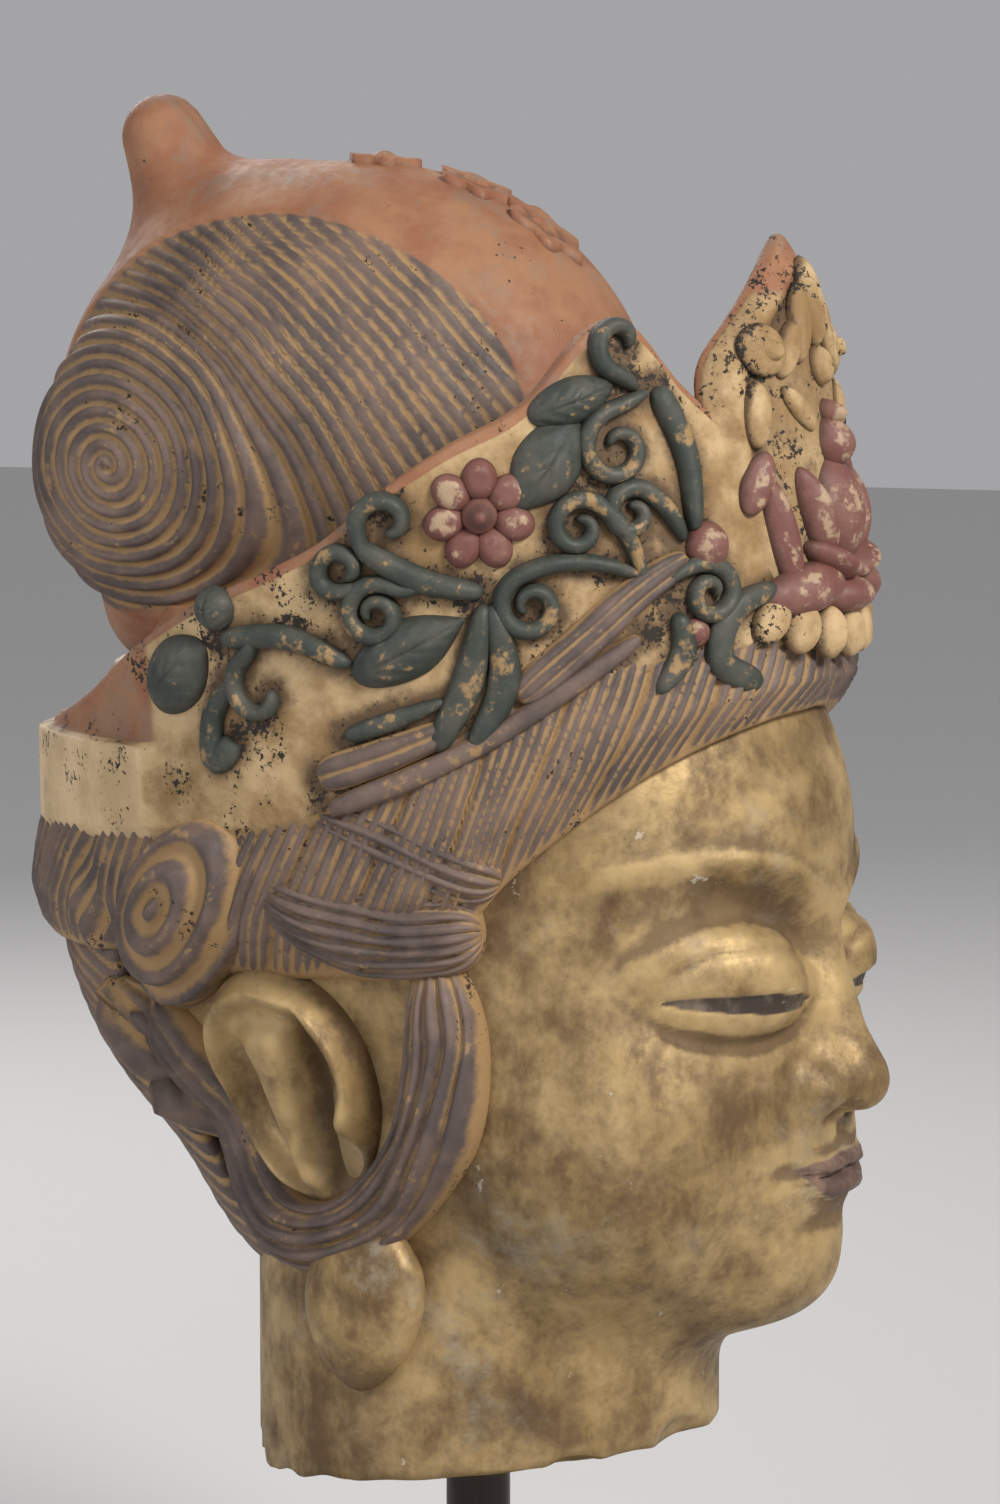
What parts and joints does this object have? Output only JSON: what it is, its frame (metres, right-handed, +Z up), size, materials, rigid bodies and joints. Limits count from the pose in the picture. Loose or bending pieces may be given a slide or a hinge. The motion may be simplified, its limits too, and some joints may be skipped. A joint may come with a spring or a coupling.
{
  "type": "bodhisattva head on stand",
  "caption": "Painted and gilded bodhisattva head with a carved crown and a coiled topknot, held on a round rod in a square base block.",
  "frame": {"origin": "centre of the base block's underside, on the rod's axis", "axes": "+Z up along the rod, the face looks along -Y, the head's right is towards -X"},
  "size_m": [0.1799, 0.2247, 0.4307],
  "materials": {
    "gilding": "aged gold leaf, worn and brown in its hollows",
    "rod_metal": "dark satin",
    "base": "black satin",
    "hair_paint": "slate and mauve brown paint over ochre, matt",
    "ochre_ground": "cream and ochre ground, matt",
    "green_paint": "worn dark blue-green paint, matt",
    "red_paint": "worn maroon paint, matt",
    "terracotta": "orange earth with grey dust, matt"
  },
  "bodies": {
    "root": {"head": "gilding", "stand_rod": "rod_metal", "stand_base": "base"}
  },
  "joints": []
}
